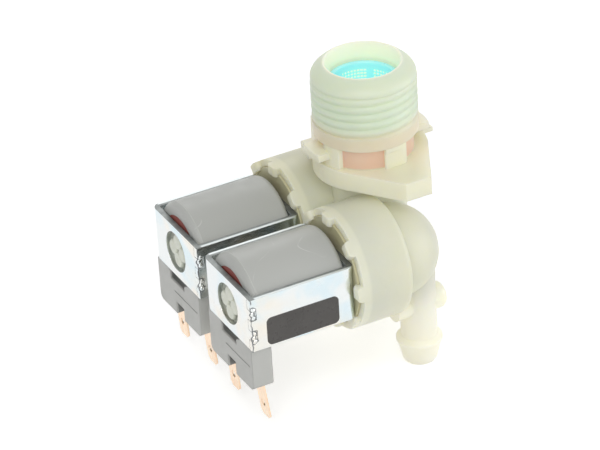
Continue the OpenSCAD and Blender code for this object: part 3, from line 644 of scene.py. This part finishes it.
class INLETVALVE_OT_moulding(bpy.types.Operator):
    """The moulded body with a helical inlet thread in place of the frame's plain ridges"""

    bl_idname = "inletvalve.moulding"
    bl_label = "Moulded body"

    collar_top: FloatProperty(default=9.45 * MM, description="Height at which the collar passes into the thread")
    thread_top: FloatProperty(default=21.0 * MM, description="Height at which the thread runs out into the shoulder")
    crest_d: FloatProperty(default=26.99 * MM, description="Diameter over the thread's crests")
    bore_clear: FloatProperty(default=10.5 * MM, description="Radius between the bore, which stays, and the ridges")
    flare_h: FloatProperty(default=2.5 * MM, description="Depth of the flare in the mouth")
    gap: FloatProperty(default=0.06 * MM, description="Height of the bands that join old and new skin")
    turn_steps: IntProperty(default=96, description="Steps in one turn of the thread")

    def execute(self, context):
        low, high = self.collar_top + 0.02 * MM, self.thread_top
        neck = MOUTH_TOP - self.flare_h
        bm = merged_copy("valve_body")
        for z in (low, neck):
            cut_level(bm, z)
        self.clear_ridges(bm, low, neck)
        for skin in (self.helix(low + self.gap, high), self.lip(high + self.gap, neck + self.gap)):
            mesh = bpy.data.meshes.new("inlet_skin")
            skin.to_mesh(mesh)
            skin.free()
            bm.from_mesh(mesh)
            bpy.data.meshes.remove(mesh)
        for z in (low, high, neck):
            stitch(bm, ring(bm, z), ring(bm, z + self.gap))
        bmesh.ops.recalc_face_normals(bm, faces=bm.faces)
        piece("moulded_body", bm, "nylon", replaced=("valve_body",), sharp=28)
        return {"FINISHED"}

    def clear_ridges(self, bm, low, neck):
        """Deletes the mouth and the outside of the thread."""
        going = []
        for face in bm.faces:
            middle = face.calc_center_median()
            outside = math.hypot(middle.x, middle.y) > self.bore_clear
            if middle.z > neck or middle.z > low and outside:
                going.append(face)
        bmesh.ops.delete(bm, geom=going, context="FACES")

    def lip(self, low, neck):
        """Smooth shoulder, thin rim and wall of the mouth."""
        profile = [(r * MM, z * MM) for r, z in SHOULDER + MOUTH_RIM]
        bm = bmesh.new()
        turned(bm, [(SHOULDER_R * MM, low), *profile, (WALL_R * MM, neck)], self.turn_steps)
        return bm

    def helix(self, low, high):
        """Skin of the thread between two heights, swept from one ridge's profile."""
        pitch, depth = moulding().thread_pitch, moulding().thread_depth
        root = self.crest_d / 2 - depth
        turns = math.ceil((high - low) / pitch) + 2
        start = low - 1.5 * pitch
        bm = bmesh.new()
        turned(bm, [(root + rise * depth, start + share * pitch) for rise, share in RIDGE],
               self.turn_steps * turns, angle=math.tau * turns, dvec=(0, 0, pitch / self.turn_steps),
               use_merge=False, use_duplicate=False)
        bmesh.ops.remove_doubles(bm, verts=bm.verts, dist=2 * WELD)
        for z, way in ((low, -1), (high, 1)):
            cut_level(bm, z, plane_no=(0, 0, way), clear_outer=True)
        return bm


class INLETVALVE_OT_filter(bpy.types.Operator):
    """The inlet filter with its fine moulded mesh, rim, floor and pull handle"""

    bl_idname = "inletvalve.filter"
    bl_label = "Inlet filter"

    windows: IntProperty(default=6, description="Number of mesh windows")
    window_span: FloatProperty(default=math.radians(48), subtype="ANGLE", description="Width of a window")
    first_window: FloatProperty(default=math.radians(-4), subtype="ANGLE", description="Where the first window starts")
    rib_steps: IntProperty(default=3, description="Steps across a rib between two windows")
    wall: FloatProperty(default=0.35 * MM, description="Thickness of the mesh")
    rim_reach: FloatProperty(default=0.8 * MM, description="Distance by which the rim stands past the mesh")
    set_back: FloatProperty(default=1.5 * MM, description="Depth of the rim below the top of the frame's filter")
    band: FloatProperty(default=0.7 * MM, description="Height of the plain band below the rim")
    rim: FloatProperty(default=1.2 * MM, description="Height of the rim")
    rounding: FloatProperty(default=0.3 * MM, description="Rounding of the rim's and the handle's edges")
    sill: FloatProperty(default=1.3 * MM, description="Height of the plain band above the floor")
    floor: FloatProperty(default=0.9 * MM, description="Thickness of the floor")
    handle_size: triple((1.2 * MM, 4 * MM, 5.4 * MM), "Sizes of the pull handle")

    def execute(self, context):
        low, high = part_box("inlet_filter")
        outer, top = (high.x - low.x) / 2, high.z - self.set_back
        radius = outer - self.rim_reach
        bm = self.basket(radius, low.z, top - self.rim)
        self.rim_ring(bm, outer, radius - self.wall, top)
        self.floor_plate(bm, radius - self.wall / 2, low.z + 0.5 * MM)
        self.handle(bm, low.z + 3.4 * MM)
        bmesh.ops.recalc_face_normals(bm, faces=bm.faces)
        piece("filter_basket", bm, "filter_plastic", replaced=("inlet_filter",))
        return {"FINISHED"}

    def grid_lines(self, bottom, top):
        """Angles and heights of the lines between the cells of the basket's wall."""
        s = moulding()
        rib = math.tau / self.windows - self.window_span
        angles = [self.first_window]
        for _ in range(self.windows):
            for width, steps in ((self.window_span, s.mesh_columns), (rib, self.rib_steps)):
                start = angles[-1]
                angles += [start + width * (k + 1) / steps for k in range(steps)]
        step = (top - bottom - self.sill - self.band) / s.mesh_rows
        rows = [bottom + self.sill + k * step for k in range(s.mesh_rows + 1)]
        return angles, [bottom, *rows, top]

    def basket(self, radius, bottom, top):
        """Wall of the basket: one sheet bent round, with every mesh cell opened, then thickened."""
        s = moulding()
        angles, heights = self.grid_lines(bottom, top)
        across, up = len(angles) - 1, len(heights) - 1
        bm = bmesh.new()
        bmesh.ops.create_grid(bm, x_segments=across, y_segments=up, size=0.5)
        cells = []
        for face in bm.faces:
            middle = face.calc_center_median()
            column, row = int((middle.x + 0.5) * across), int((middle.y + 0.5) * up)
            if column % (s.mesh_columns + self.rib_steps) < s.mesh_columns and 0 < row < up - 1:
                cells.append(face)
        for vert in bm.verts:
            angle = angles[round((vert.co.x + 0.5) * across)]
            height = heights[round((vert.co.y + 0.5) * up)]
            vert.co = (radius * math.cos(angle), radius * math.sin(angle), height)
        bm.normal_update()
        bmesh.ops.inset_individual(bm, faces=cells, thickness=s.strand / 2)
        bmesh.ops.delete(bm, geom=cells, context="FACES")
        bmesh.ops.remove_doubles(bm, verts=bm.verts, dist=WELD)
        bmesh.ops.recalc_face_normals(bm, faces=bm.faces)
        bmesh.ops.solidify(bm, geom=bm.faces[:], thickness=self.wall)
        return bm

    def rim_ring(self, bm, outer, inner, top):
        edge, bottom = self.rounding, top - self.rim
        profile = [(inner, bottom), (outer - edge, bottom), (outer, bottom + edge),
                   (outer, top - edge), (outer - edge, top), (inner + edge, top), (inner, top - edge)]
        turned(bm, profile, 96, closed=True)

    def floor_plate(self, bm, radius, height):
        made = bmesh.ops.create_cone(bm, cap_ends=True, segments=72, radius1=radius, radius2=radius, depth=self.floor)
        bmesh.ops.translate(bm, verts=made["verts"], vec=(0, 0, height))

    def handle(self, bm, height):
        made = bmesh.ops.create_cube(bm, size=1)
        bmesh.ops.scale(bm, verts=made["verts"], vec=self.handle_size)
        bmesh.ops.translate(bm, verts=made["verts"], vec=(0, 0, height))
        edges = {e for v in made["verts"] for e in v.link_edges}
        bmesh.ops.bevel(bm, geom=list(edges), offset=self.rounding, segments=3, profile=0.5,
                        affect="EDGES", material=-1)


class INLETVALVE_OT_stakes(bpy.types.Operator):
    """Upset metal where the front plate's fingers are staked through each yoke's near side, with dark painted shade
    round each bump and up the corner
    """

    bl_idname = "inletvalve.stakes"
    bl_label = "Staked corners"

    spacing: FloatProperty(default=6.8 * MM, description="Distance between the two fingers")
    pitch: FloatProperty(default=1.15 * MM, description="Distance between the three bumps of a finger")
    inset: FloatProperty(default=0.5 * MM, description="Distance of the middle bump behind the yoke's front")
    stagger: FloatProperty(default=0.3 * MM, description="Distance of the outer bumps behind the middle one")
    bump: triple((0.58 * MM, 0.34 * MM, 0.62 * MM), "Half sizes of one upset bump")
    # The dark rims round the bumps are painted shade.
    seam: FloatProperty(default=0.26 * MM, description="Width of the dark seam round a bump")
    shade_rim_depth: FloatProperty(default=0.1 * MM, description="Height of the dark seam over the plate")
    crumple_scale: FloatProperty(default=1100, description="Fineness of the bumps' uneven shapes")
    seed: IntProperty(default=5, min=1, description="Seed of the bumps' uneven shapes")

    def execute(self, context):
        noise.seed_set(self.seed)
        shade_halo = (self.bump[0] + self.seam, self.shade_rim_depth, self.bump[2] + self.seam)
        for side in SIDES:
            low, high = yoke_box(side)
            middle = (low.z + high.z) / 2
            bumps, shade_marks = bmesh.new(), bmesh.new()
            for finger in (-1, 1):
                for step in (-1, 0, 1):
                    back = self.inset + self.stagger * abs(step)
                    height = middle + finger * self.spacing / 2 + step * self.pitch
                    ellipsoid(bumps, (low.x + back, low.y, height), self.bump)
                    ellipsoid(shade_marks, (low.x + back, low.y, height), shade_halo)
            self.corner_strip(shade_marks, low, high)
            self.crumple(bumps, 0.30 * MM)
            self.crumple(shade_marks, 0.34 * MM)
            piece(side + "_yoke_stakes", bumps, "zinc_steel")
            # Dark ovals and a corner strip of painted shade.
            dark = piece(side + "_yoke_stake_shade", shade_marks, "zinc_steel")
            dark.data.materials[0] = seam_shadow()
        return {"FINISHED"}

    def corner_strip(self, bm, low, high):
        """Thin strip of painted shade up the corner, in the joint between the front plate and the side plate."""
        made = bmesh.ops.create_grid(bm, x_segments=2, y_segments=48, size=0.5)
        bmesh.ops.rotate(bm, verts=made["verts"], cent=(0, 0, 0), matrix=QUARTER_ABOUT_X)
        bmesh.ops.scale(bm, verts=made["verts"], vec=(self.seam, 1, high.z - low.z))
        place = (low.x + 0.2 * MM, low.y - 0.03 * MM, (low.z + high.z) / 2)
        bmesh.ops.translate(bm, verts=made["verts"], vec=place)

    def crumple(self, bm, depth):
        """Pushes every vertex a little, mostly along the side plate."""
        for vert in bm.verts:
            push = noise.noise_vector(vert.co * self.crumple_scale) * depth
            vert.co += Vector((push.x, push.y * 0.2, push.z))


class INLETVALVE_OT_tube_lobes(bpy.types.Operator):
    """Four domed lobes that close each guide tube inside the hole of its yoke"""

    bl_idname = "inletvalve.tube_lobes"
    bl_label = "Guide tube lobes"

    ring: FloatProperty(default=3.12 * MM, description="Distance of a lobe's middle from the coil's axis")
    lobe: triple((2.2 * MM, 2.13 * MM, 2.13 * MM), "Half sizes of a lobe")
    set_back: FloatProperty(default=0.15 * MM, description="Distance of the lobes behind the yoke's front")
    disc: FloatProperty(default=5.44 * MM, description="Radius of the tube's end behind the lobes")
    disc_set_back: FloatProperty(default=1.5 * MM, description="Distance of that end behind the yoke's front")

    def execute(self, context):
        for side in SIDES:
            front = yoke_box(side)[0].x
            y, z = coil_axis(side)
            bm = bmesh.new()
            for dy, dz in ((0, 1), (1, 0), (0, -1), (-1, 0)):
                place = (front + self.set_back + self.lobe[0], y + dy * self.ring, z + dz * self.ring)
                ellipsoid(bm, place, self.lobe, 32)
            made = bmesh.ops.create_cone(bm, cap_ends=True, segments=64, radius1=self.disc, radius2=self.disc,
                                         depth=0.5 * MM)
            bmesh.ops.rotate(bm, verts=made["verts"], cent=(0, 0, 0), matrix=QUARTER_ABOUT_Y)
            bmesh.ops.translate(bm, verts=made["verts"], vec=(front + self.disc_set_back, y, z))
            piece(side + "_tube_lobes", bm, "tube_plastic")
        return {"FINISHED"}


class INLETVALVE_OT_mould_lines(bpy.types.Operator):
    """Fine raised mould line round the upper side of each coil cover"""

    bl_idname = "inletvalve.mould_lines"
    bl_label = "Mould lines"

    cover_d: FloatProperty(default=25.2 * MM, description="Diameter of the coil cover")
    bead: FloatProperty(default=0.13 * MM, description="Radius of the mould line's bead")
    sunk: FloatProperty(default=0.05 * MM, description="Depth of the bead's middle below the cover's surface")
    reach: FloatProperty(default=math.radians(58), subtype="ANGLE", description="Angle from the top to each end")
    bead_sides: IntProperty(default=10, description="Sides of the bead")

    def execute(self, context):
        for side in SIDES:
            y, z = coil_axis(side)
            x = yoke_box(side)[0].x + coil().mould_line
            bm = bmesh.new()
            bmesh.ops.create_circle(bm, segments=self.bead_sides, radius=self.bead)
            bmesh.ops.rotate(bm, verts=bm.verts, cent=(0, 0, 0), matrix=QUARTER_ABOUT_X)
            bmesh.ops.translate(bm, verts=bm.verts, vec=(x, y, z + self.cover_d / 2 - self.sunk))
            bmesh.ops.rotate(bm, verts=bm.verts, cent=(x, y, z), matrix=Matrix.Rotation(-self.reach, 3, "X"))
            bmesh.ops.spin(bm, geom=bm.verts[:] + bm.edges[:], cent=(x, y, z), axis=(1, 0, 0),
                           angle=2 * self.reach, steps=48)
            for end in (bm.verts[:self.bead_sides], bm.verts[-self.bead_sides:]):
                bmesh.ops.contextual_create(bm, geom=end)
            bmesh.ops.recalc_face_normals(bm, faces=bm.faces)
            line = piece(side + "_mould_line", bm, "coil_plastic", sharp=60)
            # The mould line is painted lighter, as a painted highlight.
            line.data.materials[0] = mould_line_highlight()
        return {"FINISHED"}


class INLETVALVE_OT_stage(bpy.types.Operator):
    """Floor, backdrop, lamps and camera"""

    bl_idname = "inletvalve.stage"
    bl_label = "Stage"

    camera_place: triple((-0.373554, -0.723315, 0.470645), "Place of the camera")
    camera_right: triple((0.882072, -0.467898, -0.054956), "Direction of the picture's right")
    camera_up: triple((0.284503, 0.436064, 0.85376), "Direction of the picture's top")
    floor_size: FloatProperty(default=3.0, description="Half width of the floor")
    floor_gap: FloatProperty(default=0.2 * MM, description="Distance of the floor below the valve")
    floor_glow: FloatProperty(default=0.45, description="Light that the floor adds of its own where it is seen")
    world_light: FloatProperty(default=0.48, description="Strength of the world's light on the valve")
    world_seen: FloatProperty(default=1.0, description="Strength of the world where it is seen")

    def execute(self, context):
        scene = context.scene
        scene.view_settings.view_transform = "Standard"
        self.camera(scene)
        self.floor(scene)
        self.world(scene)
        middle = (Vector(CAD_BOX[0]) + Vector(CAD_BOX[1])) / 2
        for name, offset, size, power in LAMPS:
            self.lamp(scene, name, middle, offset, size, power)
        return {"FINISHED"}

    def camera(self, scene):
        right, up = Vector(self.camera_right), Vector(self.camera_up)
        turn = Matrix((right, up, right.cross(up))).transposed().to_4x4()
        data = bpy.data.cameras.new("camera")
        data.lens = stage().lens
        data.sensor_width = 36
        data.clip_start, data.clip_end = 0.05, 20
        obj = bpy.data.objects.new("camera", data)
        obj.matrix_world = Matrix.Translation(self.camera_place) @ turn
        scene.collection.objects.link(obj)
        scene.camera = obj

    def floor(self, scene):
        bm = bmesh.new()
        bmesh.ops.create_grid(bm, x_segments=12, y_segments=12, size=self.floor_size)
        bmesh.ops.translate(bm, verts=bm.verts, vec=(0, 0, CAD_BOX[0][2] - self.floor_gap))
        mesh = bpy.data.meshes.new("floor")
        bm.to_mesh(mesh)
        bm.free()
        obj = bpy.data.objects.new("floor", mesh)
        scene.collection.objects.link(obj)
        mesh.materials.append(self.floor_finish())

    def floor_finish(self):
        """Pale matt floor that looks as white as the backdrop."""
        f = Finish("pale_floor", stage().floor, 0.8)
        path = f.add("ShaderNodeLightPath")
        light = f.add("ShaderNodeEmission")
        seen = f.either(path.outputs["Is Camera Ray"], path.outputs["Is Glossy Ray"])
        seen = f.either(seen, path.outputs["Is Transmission Ray"])
        f.join(f.both(seen, self.floor_glow), light.inputs["Strength"])
        both = f.add("ShaderNodeAddShader")
        f.join(f.shader.outputs[0], both.inputs[0])
        f.join(light.outputs[0], both.inputs[1])
        f.join(both.outputs[0], f.tree.nodes["Material Output"].inputs["Surface"])
        return f.material

    def world(self, scene):
        world = bpy.data.worlds.new("studio")
        world.use_nodes = True
        tree = world.node_tree
        back = tree.nodes["Background"]
        back.inputs["Color"].default_value = (1, 1, 1, 1)
        path = tree.nodes.new("ShaderNodeLightPath")
        seen = tree.nodes.new("ShaderNodeMath")
        seen.operation = "MAXIMUM"
        tree.links.new(path.outputs["Is Camera Ray"], seen.inputs[0])
        tree.links.new(path.outputs["Is Glossy Ray"], seen.inputs[1])
        strength = tree.nodes.new("ShaderNodeMapRange")
        strength.inputs["To Min"].default_value = self.world_light
        strength.inputs["To Max"].default_value = self.world_seen
        tree.links.new(seen.outputs[0], strength.inputs["Value"])
        tree.links.new(strength.outputs["Result"], back.inputs["Strength"])
        scene.world = world

    def lamp(self, scene, name, target, offset, size, power):
        data = bpy.data.lights.new(name, "AREA")
        data.size = size
        data.energy = power
        obj = bpy.data.objects.new(name, data)
        obj.location = target + Vector(offset)
        obj.rotation_euler = (target - obj.location).to_track_quat("-Z", "Y").to_euler()
        scene.collection.objects.link(obj)


STEPS = (
    INLETVALVE_OT_stage,
    INLETVALVE_OT_finishes,
    INLETVALVE_OT_moulding,
    INLETVALVE_OT_filter,
    INLETVALVE_OT_stakes,
    INLETVALVE_OT_tube_lobes,
    INLETVALVE_OT_mould_lines,
)


class INLETVALVE_PT_panel(bpy.types.Panel):
    """Lists the steps that dress the valve"""

    bl_label = "Inlet valve"
    bl_idname = "INLETVALVE_PT_panel"
    bl_space_type = "VIEW_3D"
    bl_region_type = "UI"
    bl_category = "Inlet valve"

    def draw(self, context):
        for step in STEPS:
            self.layout.operator(step.bl_idname)
        for settings in (moulding(), coil(), stage()):
            for key in settings.__annotations__:
                self.layout.prop(settings, key)


CLASSES = (MouldingSettings, CoilSettings, StageSettings, *STEPS, INLETVALVE_PT_panel)


def register():
    for cls in CLASSES:
        bpy.utils.register_class(cls)
    bpy.types.Scene.inlet_valve_moulding = PointerProperty(type=MouldingSettings)
    bpy.types.Scene.inlet_valve_coil = PointerProperty(type=CoilSettings)
    bpy.types.Scene.inlet_valve_stage = PointerProperty(type=StageSettings)


def unregister():
    del bpy.types.Scene.inlet_valve_stage
    del bpy.types.Scene.inlet_valve_coil
    del bpy.types.Scene.inlet_valve_moulding
    for cls in reversed(CLASSES):
        bpy.utils.unregister_class(cls)


def main():
    register()
    for step in STEPS:
        group, name = step.bl_idname.split(".")
        getattr(getattr(bpy.ops, group), name)()


if __name__ == "__main__":
    main()
